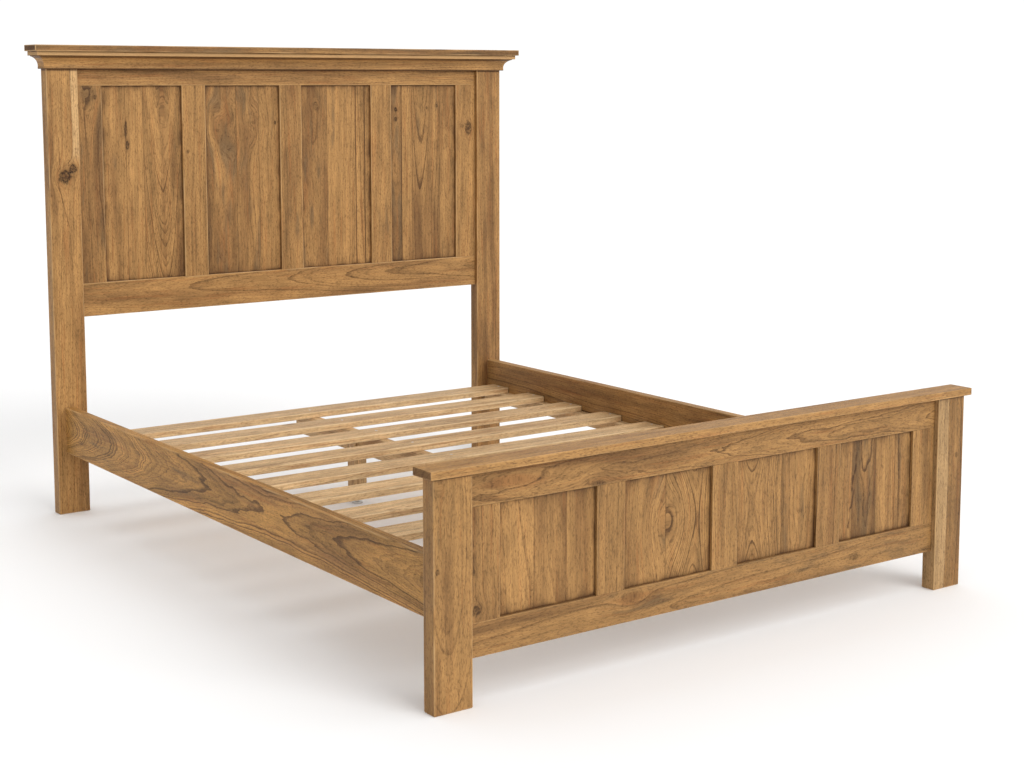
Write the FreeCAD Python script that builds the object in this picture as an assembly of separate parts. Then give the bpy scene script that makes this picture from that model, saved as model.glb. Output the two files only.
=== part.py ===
import FreeCAD, Part
import math
import os

from FreeCAD import Placement, Rotation, Vector

# A wooden panel bed: a crowned headboard and a low footboard, each two posts and a frame of four
# floating panels, joined by two side rails that hook onto the posts and carry a slat deck.
# Millimetres. X runs across the bed, Y from foot to head, Z up from the floor. The origin lies on
# the floor, midway between the outermost faces. Left is the side of negative X, seen from the foot.

# The mattress that the bed is made for, and the room left around it
MATTRESS_WIDTH = 1524.0
MATTRESS_LENGTH = 2032.0
MATTRESS_SIDE_GAP = 8.0
MATTRESS_END_GAP = 9.0

# Posts of both boards. The reveal is the step from a post's outer face back to the side rail.
POST_WIDTH = 98.0
POST_DEPTH = 41.0
POST_REVEAL = 28.0
POST_EASE = 2.5
POST_FOOT_CHAMFER = 2.0

# Panel frames of both boards: rails, stiles and mullions, set back from the faces of the posts
FRAME_THICKNESS = 24.0
FRAME_SETBACK = 13.0
FRAME_EASE = 1.0
STILE_WIDTH = 80.0
PANEL_COUNT = 4
PANEL_THICKNESS = 8.0
PANEL_FIT = 0.1
PANEL_FLOAT = 1.0
GROOVE_DEPTH = 9.0
TENON_LENGTH = 25.0
TENON_THICKNESS = 10.0
TENON_SHOULDER = 10.0
TENON_FIT = 0.1
TENON_END_GAP = 1.0

# Headboard
HEADBOARD_HEIGHT = 1424.0
HEAD_RAIL_BOTTOM = 602.0
HEAD_RAIL_HEIGHT = 102.0

# Footboard
FOOTBOARD_HEIGHT = 526.0
FOOT_RAIL_BOTTOM = 103.0
FOOT_RAIL_HEIGHT = 77.0

# Caps that lie on top of the boards
CAP_THICKNESS = 18.5
CAP_EASE = 1.5
HEAD_CAP_OVERHANG = 48.0
FOOT_CAP_END_OVERHANG = 13.0
FOOT_CAP_FRONT_OVERHANG = 12.0
FOOT_CAP_BACK_OVERHANG = 16.0

# Crown moulding under the headboard's cap: a small foot, a cove and a square fillet
CROWN_HEIGHT = 52.0
CROWN_FOOT_PROJECTION = 9.0
CROWN_FOOT_HEIGHT = 5.0
CROWN_COVE_PROJECTION = 31.0
CROWN_FILLET_PROJECTION = 39.0
CROWN_FILLET_HEIGHT = 13.0
CROWN_QUIRK = 2.0
BACKING_FIT = 0.1

# Side rails
SIDE_RAIL_THICKNESS = 27.0
SIDE_RAIL_HEIGHT = 140.0
SIDE_RAIL_BOTTOM = 190.0
SIDE_RAIL_EASE = 2.5
SIDE_RAIL_END_GAP = 0.3

# Hook plates in the rail ends and slotted plates in the posts
PLATE_LENGTH = 130.0
PLATE_WIDTH = 18.0
PLATE_THICKNESS = 2.5
PLATE_FIT = 0.2
PLATE_SCREW_INSET = 9.0
HOOK_PITCH = 52.0
HOOK_WIDTH = 5.0
HOOK_NECK_HEIGHT = 13.0
HOOK_DROP = 12.0
HOOK_LIP = 4.0
HOOK_LEAD = 3.0
HOOK_BACK_GAP = 0.4
HOOK_SIDE_GAP = 0.6
HOOK_TRAVEL = 14.0
HOOK_TOP_GAP = 2.0
POCKET_GAP = 3.0

# Slat deck: cleats inside the rails, slats across them, a beam along the middle
CLEAT_WIDTH = 25.0
CLEAT_HEIGHT = 38.0
CLEAT_END_SETBACK = 20.0
SLAT_COUNT = 10
SLAT_WIDTH = 92.0
SLAT_THICKNESS = 19.0
SLAT_CHAMFER = 2.0
SLAT_END_GAP = 3.0
SLAT_BOARD_GAP = 40.0
BEAM_WIDTH = 30.0
BEAM_HEIGHT = 64.0
BEAM_CHAMFER = 2.0
BEAM_END_OVERRUN = 20.0

# Centre legs: square, with a cheek that runs up beside the beam
LEG_COUNT = 3
LEG_SPACING_IN_SLATS = 3
LEG_SIZE = 45.0
LEG_CHEEK = 15.0
LEG_TOP_GAP = 6.0
LEG_CHAMFER = 3.0
LEG_SCREW_INSET = 14.0
LEG_SCREW_PITCH = 22.0

# Levelling glides and the tee nuts that they screw into. A glide's rounds are rings of flats.
GLIDE_SIDES = 24
GLIDE_DIAMETER = 34.0
GLIDE_BASE_HEIGHT = 6.0
GLIDE_BASE_CHAMFER = 1.5
GLIDE_HEX_SIDES = 6
GLIDE_HEX_FLATS = 13.0
GLIDE_HEX_HEIGHT = 5.0
GLIDE_STEM_DIAMETER = 8.0
GLIDE_STEM_LENGTH = 49.0
GLIDE_RISE = 12.0
GLIDE_TOP_GAP = 1.0
STEM_FIT = 0.1
STEM_BORE_END_GAP = 4.0
TEE_NUT_FLANGE_DIAMETER = 22.0
TEE_NUT_FLANGE_THICKNESS = 1.6
TEE_NUT_BARREL_DIAMETER = 11.0
TEE_NUT_BARREL_LENGTH = 10.0
TEE_NUT_FIT = 0.2

# Countersunk wood screws. They are many and small, so each has six flats in place of a round.
SCREW_SIDES = 6
SCREW_DIAMETER = 4.0
SCREW_HEAD_DIAMETER = 8.0
SCREW_HEAD_HEIGHT = 2.6
SCREW_POINT_DIAMETER = 1.0
SCREW_FIT = 0.1
PLATE_SCREW_LENGTH = 32.0
DECK_SCREW_LENGTH = 40.0

# How far a cutting tool runs past the face that it opens
CUT_OVERRUN = 5.0

# Places that follow from the sizes above, across the bed
rail_inner_x = MATTRESS_WIDTH / 2 + MATTRESS_SIDE_GAP
rail_outer_x = rail_inner_x + SIDE_RAIL_THICKNESS
rail_middle_x = rail_inner_x + SIDE_RAIL_THICKNESS / 2
post_outer_x = rail_outer_x + POST_REVEAL
post_inner_x = post_outer_x - POST_WIDTH
cleat_inner_x = rail_inner_x - CLEAT_WIDTH
cleat_middle_x = rail_inner_x - CLEAT_WIDTH / 2

# Along the bed: the front of a board faces the foot, and its back faces the head
clear_length = MATTRESS_LENGTH + 2 * MATTRESS_END_GAP
overall_length = clear_length + 2 * POST_DEPTH + FOOT_CAP_FRONT_OVERHANG
head_back_y = overall_length / 2
head_front_y = head_back_y - POST_DEPTH
foot_back_y = head_front_y - clear_length
foot_front_y = foot_back_y - POST_DEPTH
slat_pitch = (clear_length - 2 * SLAT_BOARD_GAP - SLAT_WIDTH) / (SLAT_COUNT - 1)
first_slat_y = foot_back_y + SLAT_BOARD_GAP + SLAT_WIDTH / 2
last_slat_y = first_slat_y + slat_pitch * (SLAT_COUNT - 1)
deck_middle_y = (first_slat_y + last_slat_y) / 2

# Up from the floor
head_cap_z = HEADBOARD_HEIGHT - CAP_THICKNESS
foot_cap_z = FOOTBOARD_HEIGHT - CAP_THICKNESS
crown_z = head_cap_z - CROWN_HEIGHT
rail_top_z = SIDE_RAIL_BOTTOM + SIDE_RAIL_HEIGHT
rail_middle_z = SIDE_RAIL_BOTTOM + SIDE_RAIL_HEIGHT / 2
slat_z = SIDE_RAIL_BOTTOM + CLEAT_HEIGHT
slat_top_z = slat_z + SLAT_THICKNESS
beam_z = slat_z - BEAM_HEIGHT
glide_top_z = GLIDE_BASE_HEIGHT + GLIDE_HEX_HEIGHT
leg_z = glide_top_z + GLIDE_RISE + GLIDE_TOP_GAP + TEE_NUT_FLANGE_THICKNESS
leg_top_z = slat_z - LEG_TOP_GAP

ALONG_X = Vector(1, 0, 0)
ALONG_Y = Vector(0, 1, 0)
ALONG_Z = Vector(0, 0, 1)
SIDES = (("left", -1), ("right", 1))


# Shapes that several pieces are made from

def block(x, y, z):
    """A box between the two ends given for each axis, in either order."""
    corner = Vector(min(x), min(y), min(z))
    return Part.makeBox(abs(x[1] - x[0]), abs(y[1] - y[0]), abs(z[1] - z[0]), corner)


def about(middle, size):
    """The two ends of a length that is centred on a place."""
    return middle - size / 2, middle + size / 2


def across(size):
    """The two ends of a length that is centred on the bed."""
    return about(0, size)


def straight_edges(shape, axis):
    """The straight edges of a shape that run along an axis."""
    lines = [edge for edge in shape.Edges if isinstance(edge.Curve, Part.Line)]
    return [edge for edge in lines if abs(edge.tangentAt(edge.FirstParameter).dot(axis)) > 1 - 1e-6]


def eased(shape, radius, axis):
    """Round the edges that run along an axis."""
    return shape.makeFillet(radius, straight_edges(shape, axis))


def chamfered(shape, size, axis):
    """Take the sharpness off the edges that run along an axis."""
    return shape.makeChamfer(size, straight_edges(shape, axis))


def prism(points, direction):
    """A closed outline of straight lines, pushed along a direction."""
    return Part.Face(Part.makePolygon(points + points[:1])).extrude(direction)


def lathe(outline):
    """A solid turned about Z from a closed outline of radius and height."""
    points = [Vector(radius, 0, height) for radius, height in outline]
    return Part.Face(Part.makePolygon(points + points[:1])).revolve(Vector(), ALONG_Z, 360)


def ring_of_corners(radius, height, sides):
    """The corners of a regular polygon about Z."""
    turns = [2 * math.pi * step / sides for step in range(sides)]
    return [Vector(radius * math.cos(turn), radius * math.sin(turn), height) for turn in turns]


def flatted(outline, sides):
    """A solid about Z through points of radius and height, with a ring of flats in place of a round."""
    rings = [ring_of_corners(radius, height, sides) for radius, height in outline]
    return Part.makeLoft([Part.makePolygon(ring + ring[:1]) for ring in rings], True, True)


def facing(shape, place, direction):
    """Move a shape so that its own Z axis points along a direction, from a place."""
    moved = shape.copy()
    moved.Placement = Placement(place, Rotation(ALONG_Z, direction))
    return moved


# Screws: a countersunk head whose top is flush with a face, and a shank that tapers to its point

def screw_shape(length, grown):
    """A screw along Z with its head at the origin, or the hole for one, which is grown all round."""
    outline = [
        (SCREW_HEAD_DIAMETER / 2, 0),
        (SCREW_DIAMETER / 2, SCREW_HEAD_HEIGHT),
        (SCREW_POINT_DIAMETER / 2, length + grown),
    ]
    return flatted([(radius + grown, height) for radius, height in outline], SCREW_SIDES)


class ScrewSet:
    """Screws of one length, with the holes that they need in what they hold."""

    def __init__(self, length):
        self.screw = screw_shape(length, 0)
        self.hole = screw_shape(length, SCREW_FIT)
        self.screws = []
        self.holes = []

    def add(self, place, direction):
        self.screws.append(facing(self.screw, place, direction))
        self.holes.append(facing(self.hole, place, direction))

    def drill(self, piece):
        near = [hole for hole in self.holes if hole.BoundBox.intersect(piece.BoundBox)]
        return piece.cut(near) if near else piece

    def group(self):
        return Part.makeCompound(self.screws)


# Panel frames: rails that run from post to post, stiles and mullions between the rails, and panels

class PanelFrame:
    """The frame and panels of one board, between two heights, behind the front of its posts."""

    def __init__(self, post_front_y, bottom, top, rail_height):
        front = post_front_y + FRAME_SETBACK
        middle = front + FRAME_THICKNESS / 2
        self.depth = (front, front + FRAME_THICKNESS)
        self.groove = about(middle, PANEL_THICKNESS + 2 * PANEL_FIT)
        self.tongue = about(middle, PANEL_THICKNESS)
        self.tenon = about(middle, TENON_THICKNESS)
        self.mortise = about(middle, TENON_THICKNESS + 2 * TENON_FIT)
        self.rails = {"bottom": (bottom, bottom + rail_height), "top": (top - rail_height, top)}
        self.opening = (bottom + rail_height, top - rail_height)
        panels_width = 2 * post_inner_x - STILE_WIDTH * (PANEL_COUNT + 1)
        self.panel_width = panels_width / PANEL_COUNT

    def rail(self, which):
        """A rail with a tenon at each end and the panel groove along the edge inside the frame."""
        low, high = self.rails[which]
        body = block((-post_inner_x, post_inner_x), self.depth, (low, high))
        body = chamfered(body, FRAME_EASE, ALONG_X)
        reach = post_inner_x + TENON_LENGTH
        tenons = block((-reach, reach), self.tenon, (low + TENON_SHOULDER, high - TENON_SHOULDER))
        edge, inward = (high, -1) if which == "bottom" else (low, 1)
        ends = (-reach, reach)
        groove = block(ends, self.groove, (edge - inward * CUT_OVERRUN, edge + inward * GROOVE_DEPTH))
        return body.fuse(tenons).removeSplitter().cut(groove)

    def mortises(self, side):
        """The holes in the post on one side that take the tenons of both rails."""
        depth = (side * (post_inner_x - CUT_OVERRUN), side * (post_inner_x + TENON_LENGTH + TENON_END_GAP))
        holes = []
        for low, high in self.rails.values():
            height = (low + TENON_SHOULDER - TENON_FIT, high - TENON_SHOULDER + TENON_FIT)
            holes.append(block(depth, self.mortise, height))
        return holes

    def upright(self, number):
        """Stile or mullion by its place from the left: grooved where a panel enters, with stub tenons."""
        left = -post_inner_x + number * (STILE_WIDTH + self.panel_width)
        right = left + STILE_WIDTH
        low, high = self.opening
        body = block((left, right), self.depth, (low, high))
        body = chamfered(body, FRAME_EASE, ALONG_Z)
        stub = GROOVE_DEPTH - TENON_END_GAP
        tongue_left = left
        tongue_right = right
        grooves = []
        if number > 0:
            tongue_left = left + GROOVE_DEPTH
            grooves.append((left - CUT_OVERRUN, tongue_left))
        if number < PANEL_COUNT:
            tongue_right = right - GROOVE_DEPTH
            grooves.append((tongue_right, right + CUT_OVERRUN))
        body = body.fuse(block((tongue_left, tongue_right), self.tongue, (low - stub, high + stub)))
        for ends in grooves:
            body = body.cut(block(ends, self.groove, (low - stub, high + stub)))
        return body

    def panel(self, number):
        """A flat panel whose edges lie in the grooves with a little room to move."""
        tongue = GROOVE_DEPTH - PANEL_FLOAT
        left = -post_inner_x + STILE_WIDTH + number * (STILE_WIDTH + self.panel_width)
        low, high = self.opening
        width = (left - tongue, left + self.panel_width + tongue)
        return block(width, self.tongue, (low - tongue, high + tongue))

    def pieces(self, board):
        """All pieces of the frame, under the names of one board."""
        made = {}
        for which in self.rails:
            made[f"{board}_{which}_rail"] = self.rail(which)
        made[f"{board}_end_stile_left"] = self.upright(0)
        made[f"{board}_end_stile_right"] = self.upright(PANEL_COUNT)
        for number in range(1, PANEL_COUNT):
            made[f"{board}_mullion_{number}"] = self.upright(number)
        for number in range(PANEL_COUNT):
            made[f"{board}_panel_{number + 1}"] = self.panel(number)
        return made


# Hook fasteners: a plate with two hooks in each rail end, a plate with two slots in each post

class HookFastener:
    """The fastener at one end of one side rail. Depth is measured from the post's face into the post."""

    def __init__(self, side, end):
        self.middle_x = side * rail_middle_x
        self.face_y, self.into_y = (head_front_y, 1) if end == "head" else (foot_back_y, -1)
        rows = (rail_middle_z - HOOK_PITCH / 2, rail_middle_z + HOOK_PITCH / 2)
        self.seats = [row - HOOK_NECK_HEIGHT / 2 for row in rows]
        self.lip = (PLATE_THICKNESS + HOOK_BACK_GAP, PLATE_THICKNESS + HOOK_BACK_GAP + HOOK_LIP)
        self.hook_plate_depth = (-SIDE_RAIL_END_GAP - PLATE_THICKNESS, -SIDE_RAIL_END_GAP)

    def at_depth(self, depth):
        return self.face_y + self.into_y * depth

    def depths(self, near, far):
        return self.at_depth(near), self.at_depth(far)

    def blank(self, near, far, grown):
        """A plate upright on the middle of the rail, between two depths, grown along its edges."""
        width = about(self.middle_x, PLATE_WIDTH + 2 * grown)
        return block(width, self.depths(near, far), about(rail_middle_z, PLATE_LENGTH + 2 * grown))

    def screw_places(self, depth):
        """Where the two screws of a plate start, near its ends."""
        pitch = PLATE_LENGTH - 2 * PLATE_SCREW_INSET
        return [Vector(self.middle_x, self.at_depth(depth), z) for z in about(rail_middle_z, pitch)]

    def hook_plate(self):
        """The plate with its two hooks, each a neck with a lip that hangs down behind the slot."""
        plate = self.blank(*self.hook_plate_depth, 0)
        near, far = self.lip
        start = self.hook_plate_depth[0]
        for seat in self.seats:
            top = seat + HOOK_NECK_HEIGHT
            tip = seat - HOOK_DROP
            outline = [
                (start, seat),
                (near, seat),
                (near, tip + HOOK_LEAD),
                (near + HOOK_LEAD, tip),
                (far, tip),
                (far, top),
                (start, top),
            ]
            left = self.middle_x - HOOK_WIDTH / 2
            points = [Vector(left, self.at_depth(depth), height) for depth, height in outline]
            plate = plate.fuse(prism(points, ALONG_X * HOOK_WIDTH))
        return plate.removeSplitter()

    def slot_plate(self):
        """The plate with two slots, tall enough for the hooks to lift out."""
        plate = self.blank(0, PLATE_THICKNESS, 0)
        width = about(self.middle_x, HOOK_WIDTH + 2 * HOOK_SIDE_GAP)
        through = self.depths(-CUT_OVERRUN, PLATE_THICKNESS + CUT_OVERRUN)
        for seat in self.seats:
            top = seat + HOOK_NECK_HEIGHT + HOOK_TRAVEL + HOOK_TOP_GAP
            plate = plate.cut(block(width, through, (seat, top)))
        return plate

    def rail_recess(self):
        """The recess in the rail's end that the hook plate lies in."""
        near, far = self.hook_plate_depth
        return self.blank(near, far + CUT_OVERRUN, PLATE_FIT)

    def post_recesses(self):
        """The recess for the slotted plate, and a pocket behind each slot where the hook hangs."""
        recesses = [self.blank(-CUT_OVERRUN, PLATE_THICKNESS, PLATE_FIT)]
        width = about(self.middle_x, HOOK_WIDTH + 2 * POCKET_GAP)
        reach = self.depths(0, self.lip[1] + POCKET_GAP)
        for seat in self.seats:
            low = seat - HOOK_DROP - POCKET_GAP
            high = seat + HOOK_NECK_HEIGHT + HOOK_TRAVEL + POCKET_GAP
            recesses.append(block(width, reach, (low, high)))
        return recesses


# Posts, caps and crown

def post(side, front_y, top, frame, fastener):
    """A flat post with eased corners, mortised for the frame and let in for the slotted plate."""
    width = (side * post_inner_x, side * post_outer_x)
    body = block(width, (front_y, front_y + POST_DEPTH), (0, top))
    body = eased(body, POST_EASE, ALONG_Z)
    foot = [edge for edge in body.Edges if edge.BoundBox.ZMax < POST_FOOT_CHAMFER]
    body = body.makeChamfer(POST_FOOT_CHAMFER, foot)
    return body.cut(frame.mortises(side) + fastener.post_recesses())


def cap(length, front_y, back_y, low, eased_back):
    """A cap board whose long edges and ends are eased, but for a back that stands against a wall."""
    body = block(across(length), (front_y, back_y), (low, low + CAP_THICKNESS))
    edges = straight_edges(body, ALONG_Y) + straight_edges(body, ALONG_X)
    if not eased_back:
        edges = [edge for edge in edges if edge.BoundBox.YMin < back_y - CAP_EASE]
    return body.makeFillet(CAP_EASE, edges)


def crown_section(out):
    """The crown's section, standing on the post's face, with its projection along a direction."""
    cove_low = CROWN_FOOT_HEIGHT
    cove_high = CROWN_HEIGHT - CROWN_FILLET_HEIGHT - CROWN_QUIRK
    cove_rise = cove_high - cove_low
    cove_run = CROWN_COVE_PROJECTION - CROWN_FOOT_PROJECTION
    belly_run_share = 1 - math.cos(math.pi / 4)
    belly_rise_share = math.sin(math.pi / 4)

    def at(projection, height):
        return out * projection + ALONG_Z * (crown_z + height)

    foot = at(CROWN_FOOT_PROJECTION, cove_low)
    belly = at(CROWN_FOOT_PROJECTION + cove_run * belly_run_share, cove_low + cove_rise * belly_rise_share)
    crest = at(CROWN_COVE_PROJECTION, cove_high)
    fillet_z = CROWN_HEIGHT - CROWN_FILLET_HEIGHT
    square = [
        crest,
        at(CROWN_COVE_PROJECTION, fillet_z),
        at(CROWN_FILLET_PROJECTION, fillet_z),
        at(CROWN_FILLET_PROJECTION, CROWN_HEIGHT),
        at(0, CROWN_HEIGHT),
        at(0, 0),
        at(CROWN_FOOT_PROJECTION, 0),
        foot,
    ]
    cove = Part.Arc(foot, belly, crest).toShape()
    return Part.Face(Part.Wire([cove] + Part.makePolygon(square).Edges))


def mitre(side, kept):
    """A wedge in plan that takes the end off the crown's front length, or off its return."""
    reach = CROWN_FILLET_PROJECTION + CUT_OVERRUN
    corner = Vector(side * post_outer_x, head_front_y, crown_z - CUT_OVERRUN)
    out_x = ALONG_X * (side * reach)
    out_y = ALONG_Y * -reach
    third = out_x if kept == "front" else out_y
    points = [corner, corner + out_x + out_y, corner + third]
    return prism(points, ALONG_Z * (CROWN_HEIGHT + 2 * CUT_OVERRUN))


def crown_front():
    """The crown's length across the front, mitred at both ends."""
    reach = post_outer_x + CROWN_FILLET_PROJECTION
    section = crown_section(-ALONG_Y)
    section.translate(Vector(-reach, head_front_y, 0))
    length = section.extrude(ALONG_X * (2 * reach))
    return length.cut([mitre(side, "front") for _, side in SIDES])


def crown_return(side):
    """The crown's short length along the outside of a post, mitred at the front."""
    section = crown_section(ALONG_X * side)
    start_y = head_front_y - CROWN_FILLET_PROJECTION
    section.translate(Vector(side * post_outer_x, start_y, 0))
    length = section.extrude(ALONG_Y * (head_back_y - start_y))
    return length.cut(mitre(side, "return"))


def crown_backing():
    """The strip that fills the frame's setback behind the crown."""
    width = across(2 * (post_inner_x - BACKING_FIT))
    return block(width, (head_front_y, head_front_y + FRAME_SETBACK), (crown_z, head_cap_z))


# Side rails and deck

def slat_y(number):
    return first_slat_y + number * slat_pitch


def side_rail(side, fasteners):
    """A rail from board to board with eased edges, let in at both ends for the hook plates."""
    length = (foot_back_y + SIDE_RAIL_END_GAP, head_front_y - SIDE_RAIL_END_GAP)
    body = block((side * rail_inner_x, side * rail_outer_x), length, (SIDE_RAIL_BOTTOM, rail_top_z))
    body = eased(body, SIDE_RAIL_EASE, ALONG_Y)
    return body.cut([fastener.rail_recess() for fastener in fasteners])


def cleat(side):
    """The strip along the inside of a rail, flush with its lower edge, that the slats lie on."""
    length = (foot_back_y + CLEAT_END_SETBACK, head_front_y - CLEAT_END_SETBACK)
    return block((side * cleat_inner_x, side * rail_inner_x), length, (SIDE_RAIL_BOTTOM, slat_z))


def slat(number):
    """A slat across both cleats and the beam, its long edges chamfered."""
    width = about(slat_y(number), SLAT_WIDTH)
    body = block(across(2 * (rail_inner_x - SLAT_END_GAP)), width, (slat_z, slat_top_z))
    return chamfered(body, SLAT_CHAMFER, ALONG_X)


def centre_beam():
    """The beam on edge that the legs carry, under the middle of every slat."""
    length = last_slat_y - first_slat_y + SLAT_WIDTH + 2 * BEAM_END_OVERRUN
    body = block(across(BEAM_WIDTH), about(deck_middle_y, length), (beam_z, slat_z))
    return chamfered(body, BEAM_CHAMFER, ALONG_Y)


def leg_y(number):
    return deck_middle_y + (number - (LEG_COUNT - 1) / 2) * LEG_SPACING_IN_SLATS * slat_pitch


def centre_leg(number):
    """A leg whose shoulder carries the beam, with a cheek beside it and a bore for the glide's stem."""
    middle_y = leg_y(number)
    right = BEAM_WIDTH / 2
    left = right - LEG_SIZE
    body = block((left, right), about(middle_y, LEG_SIZE), (leg_z, leg_top_z))
    body = chamfered(body, LEG_CHAMFER, ALONG_Z)
    notch = block(
        (left + LEG_CHEEK, right + CUT_OVERRUN),
        about(middle_y, LEG_SIZE + 2 * CUT_OVERRUN),
        (beam_z, leg_top_z + CUT_OVERRUN),
    )
    bore_z = glide_top_z + GLIDE_STEM_LENGTH + GLIDE_RISE + STEM_BORE_END_GAP
    start = leg_axis(number) + ALONG_Z * (leg_z - CUT_OVERRUN)
    bore = Part.makeCylinder(TEE_NUT_BARREL_DIAMETER / 2 + TEE_NUT_FIT, bore_z - start.z, start)
    return body.cut([notch, bore])


def leg_axis(number):
    """The foot of a leg's own axis, on the floor."""
    return Vector(BEAM_WIDTH / 2 - LEG_SIZE / 2, leg_y(number), 0)


def tee_nut(number):
    """A flange against the foot of the leg, and a barrel in the bore with the glide's thread."""
    bore = GLIDE_STEM_DIAMETER / 2 + STEM_FIT
    nut = lathe([
        (bore, leg_z - TEE_NUT_FLANGE_THICKNESS),
        (TEE_NUT_FLANGE_DIAMETER / 2, leg_z - TEE_NUT_FLANGE_THICKNESS),
        (TEE_NUT_FLANGE_DIAMETER / 2, leg_z),
        (TEE_NUT_BARREL_DIAMETER / 2, leg_z),
        (TEE_NUT_BARREL_DIAMETER / 2, leg_z + TEE_NUT_BARREL_LENGTH),
        (bore, leg_z + TEE_NUT_BARREL_LENGTH),
    ])
    nut.translate(leg_axis(number))
    return nut


def glide(number):
    """A levelling glide: a round base, a hexagon for the spanner and a threaded stem."""
    radius = GLIDE_DIAMETER / 2
    base = flatted([
        (radius - GLIDE_BASE_CHAMFER, 0),
        (radius, GLIDE_BASE_CHAMFER),
        (radius, GLIDE_BASE_HEIGHT - GLIDE_BASE_CHAMFER),
        (radius - GLIDE_BASE_CHAMFER, GLIDE_BASE_HEIGHT),
    ], GLIDE_SIDES)
    corner = GLIDE_HEX_FLATS / 2 / math.cos(math.pi / GLIDE_HEX_SIDES)
    nut = flatted([(corner, GLIDE_BASE_HEIGHT), (corner, glide_top_z)], GLIDE_HEX_SIDES)
    stem_top_z = glide_top_z + GLIDE_STEM_LENGTH
    stem_radius = GLIDE_STEM_DIAMETER / 2
    stem = flatted([(stem_radius, glide_top_z), (stem_radius, stem_top_z)], GLIDE_SIDES)
    body = base.fuse([nut, stem]).removeSplitter()
    body.translate(leg_axis(number))
    return body


def deck_screws():
    """Screws down through the slats into cleats and beam, and sideways through cleats and legs."""
    screws = ScrewSet(DECK_SCREW_LENGTH)
    for number in range(SLAT_COUNT):
        for x in (-cleat_middle_x, 0, cleat_middle_x):
            screws.add(Vector(x, slat_y(number), slat_top_z), -ALONG_Z)
    for _, side in SIDES:
        for number in range(0, SLAT_COUNT - 1, 2):
            between = (slat_y(number) + slat_y(number + 1)) / 2
            place = Vector(side * cleat_inner_x, between, SIDE_RAIL_BOTTOM + CLEAT_HEIGHT / 2)
            screws.add(place, ALONG_X * side)
    for number in range(LEG_COUNT):
        outside = BEAM_WIDTH / 2 - LEG_SIZE
        for row in range(2):
            height = beam_z + LEG_SCREW_INSET + row * LEG_SCREW_PITCH
            screws.add(Vector(outside, leg_y(number), height), ALONG_X)
    return screws


# The whole bed

def headboard(fasteners):
    frame = PanelFrame(head_front_y, HEAD_RAIL_BOTTOM, head_cap_z, HEAD_RAIL_HEIGHT)
    made = {}
    for name, side in SIDES:
        made[f"headboard_post_{name}"] = post(side, head_front_y, head_cap_z, frame, fasteners[name, "head"])
    made.update(frame.pieces("headboard"))
    made["headboard_crown_backing"] = crown_backing()
    made["headboard_crown_front"] = crown_front()
    for name, side in SIDES:
        made[f"headboard_crown_return_{name}"] = crown_return(side)
    length = 2 * (post_outer_x + HEAD_CAP_OVERHANG)
    made["headboard_cap"] = cap(length, head_front_y - HEAD_CAP_OVERHANG, head_back_y, head_cap_z, False)
    return made


def footboard(fasteners):
    frame = PanelFrame(foot_front_y, FOOT_RAIL_BOTTOM, foot_cap_z, FOOT_RAIL_HEIGHT)
    made = {}
    for name, side in SIDES:
        made[f"footboard_post_{name}"] = post(side, foot_front_y, foot_cap_z, frame, fasteners[name, "foot"])
    made.update(frame.pieces("footboard"))
    length = 2 * (post_outer_x + FOOT_CAP_END_OVERHANG)
    front_y = foot_front_y - FOOT_CAP_FRONT_OVERHANG
    made["footboard_cap"] = cap(length, front_y, foot_back_y + FOOT_CAP_BACK_OVERHANG, foot_cap_z, True)
    return made


def rails_and_deck(fasteners):
    made = {}
    for name, side in SIDES:
        ends = [fasteners[name, "foot"], fasteners[name, "head"]]
        made[f"side_rail_{name}"] = side_rail(side, ends)
        made[f"cleat_{name}"] = cleat(side)
    for number in range(SLAT_COUNT):
        made[f"slat_{number + 1:02d}"] = slat(number)
    made["centre_beam"] = centre_beam()
    for number in range(LEG_COUNT):
        made[f"centre_leg_{number + 1}"] = centre_leg(number)
    return made


def bed():
    places = [(name, side, end) for name, side in SIDES for end in ("foot", "head")]
    fasteners = {(name, end): HookFastener(side, end) for name, side, end in places}
    boards = {**headboard(fasteners), **footboard(fasteners)}
    deck = rails_and_deck(fasteners)

    slot_screws = ScrewSet(PLATE_SCREW_LENGTH)
    hook_screws = ScrewSet(PLATE_SCREW_LENGTH)
    for fastener in fasteners.values():
        into_post = ALONG_Y * fastener.into_y
        for place in fastener.screw_places(0):
            slot_screws.add(place, into_post)
        for place in fastener.screw_places(fastener.hook_plate_depth[1]):
            hook_screws.add(place, -into_post)
    screws = deck_screws()

    for name in boards:
        boards[name] = slot_screws.drill(boards[name])
    for name in deck:
        deck[name] = hook_screws.drill(screws.drill(deck[name]))
    slot_plates = [slot_screws.drill(fastener.slot_plate()) for fastener in fasteners.values()]
    hook_plates = [hook_screws.drill(fastener.hook_plate()) for fastener in fasteners.values()]

    made = {**boards, **deck}
    made["post_slot_plates"] = Part.makeCompound(slot_plates)
    made["post_slot_plate_screws"] = slot_screws.group()
    made["rail_hook_plates"] = Part.makeCompound(hook_plates)
    made["rail_hook_plate_screws"] = hook_screws.group()
    made["deck_screws"] = screws.group()
    made["leg_tee_nuts"] = Part.makeCompound([tee_nut(number) for number in range(LEG_COUNT)])
    for number in range(LEG_COUNT):
        made[f"levelling_glide_{number + 1}"] = glide(number)
    return made


os.makedirs("parts", exist_ok=True)
for node, shape in bed().items():
    shape.exportStep(os.path.join("parts", f"{node}.step"))
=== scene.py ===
import math
from typing import NamedTuple

import bpy
import numpy as np
from mathutils import Matrix, Vector


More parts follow.
